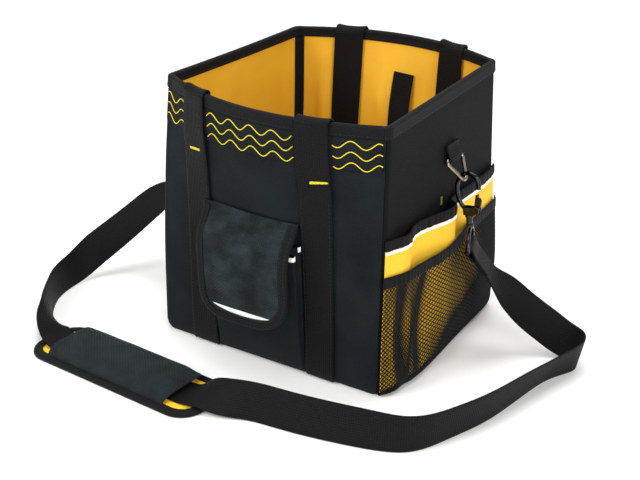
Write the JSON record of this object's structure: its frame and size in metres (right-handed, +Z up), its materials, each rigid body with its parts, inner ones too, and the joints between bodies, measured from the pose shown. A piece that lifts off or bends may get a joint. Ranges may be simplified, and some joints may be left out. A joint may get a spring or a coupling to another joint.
{
  "type": "open tool bag with shoulder strap",
  "caption": "Open-topped square nylon tool bag, yellow inside, with tucked webbing handles, flapped front pouch, net side pocket and padded shoulder strap",
  "frame": {"origin": "middle of the base on the surface that the bag stands on", "axes": "+Z up, -Y is the front with the pouch, +X is the side with the net pocket"},
  "size_m": [0.5776, 0.4085, 0.2874],
  "materials": {
    "nylon_charcoal": "coarse woven nylon, matte",
    "webbing_black": "ribbed polyester webbing and tape",
    "lining_yellow": "plain woven lining, matte",
    "pocket_yellow": "plain woven pocket cloth, matte",
    "reflective_white": "reflective tape, satin",
    "net_black": "knitted diamond net",
    "gunmetal": "dark plated wire and die casting, semi-gloss"
  },
  "bodies": {
    "bag": {"base_panel": "nylon_charcoal", "front_panel": "nylon_charcoal", "right_panel": "nylon_charcoal", "back_panel": "nylon_charcoal", "left_panel": "nylon_charcoal", "lining": "lining_yellow", "rim_binding": "webbing_black", "front_band": "webbing_black", "corner_tape": "webbing_black", "front_handle": "webbing_black", "back_handle": "webbing_black", "inner_tab": "webbing_black", "pouch_pocket": "nylon_charcoal", "pouch_reflective": "reflective_white", "pouch_flap": "nylon_charcoal", "flap_binding": "webbing_black", "flap_reflective": "reflective_white", "side_pocket": "pocket_yellow", "side_pocket_piping": "reflective_white", "side_pocket_binding": "webbing_black", "mesh_pocket": "net_black", "mesh_binding": "webbing_black", "ring_tab_right": "webbing_black", "ring_right": "gunmetal", "hook_right": "gunmetal", "hook_right_eye": "gunmetal", "ring_tab_left": "webbing_black", "ring_left": "gunmetal", "hook_left": "gunmetal", "strap_end_right": "webbing_black", "strap_end_left": "webbing_black", "shoulder_strap": "webbing_black", "pad_base": "lining_yellow", "pad_binding": "webbing_black", "pad_cover": "nylon_charcoal"},
    "hook_gate": {"hook_right_gate": "gunmetal"}
  },
  "joints": [
    {"name": "hook_gate_hinge", "type": "hinge", "parent": "bag", "child": "hook_gate", "pos_m": [0.16662, 0.00802, 0.16236], "axis": [0, -1, 0], "range_deg": [0, 25], "stiffness_Nm_per_rad": 0.02, "springref_deg": -9.74}
  ]
}
